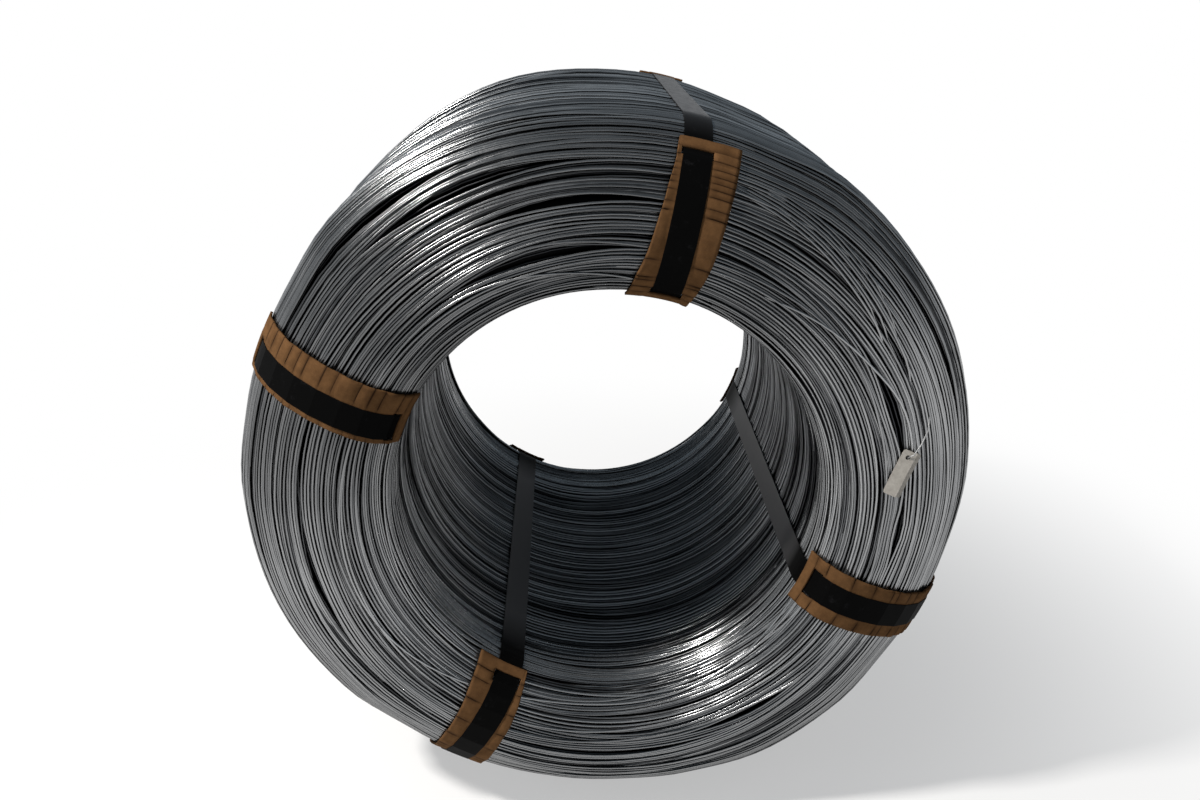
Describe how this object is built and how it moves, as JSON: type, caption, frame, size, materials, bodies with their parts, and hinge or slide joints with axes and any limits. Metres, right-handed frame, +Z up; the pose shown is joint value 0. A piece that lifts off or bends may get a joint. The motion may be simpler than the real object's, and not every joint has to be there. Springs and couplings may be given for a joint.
{
  "type": "strapped coil of steel wire",
  "caption": "Heavy coil of steel wire lying on its side, with a wide round eye, rounded ends, flat steel straps over slotted card pads and a blank tag tied to one end.",
  "frame": {"origin": "on the floor, under the middle of the coil: the centre of the bottom of its bounding box", "axes": "+Z up; the coil's axis lies along Y, the end with the tag faces -Y, and +X is to the right of someone looking at that end"},
  "size_m": [0.8899, 0.7291, 0.89],
  "materials": {
    "wire": "bare drawn wire, bluish grey, dull sheen",
    "strap": "black lacquered steel strap",
    "seal": "crimped zinc-plated steel",
    "card": "brown corrugated card, creased",
    "tag": "dull off-white plastic",
    "tie": "thin soft wire"
  },
  "bodies": {
    "root": {"wire_coil": "wire", "strap_top": "strap", "strap_right": "strap", "strap_bottom": "strap", "strap_left": "strap", "seal_top": "seal", "seal_right": "seal", "seal_bottom": "seal", "seal_left": "seal", "front_pad_top": "card", "front_pad_right": "card", "front_pad_bottom": "card", "front_pad_left": "card", "back_pad_top": "card", "back_pad_right": "card", "back_pad_bottom": "card", "back_pad_left": "card", "id_tag": "tag", "tag_tie": "tie"}
  },
  "joints": []
}
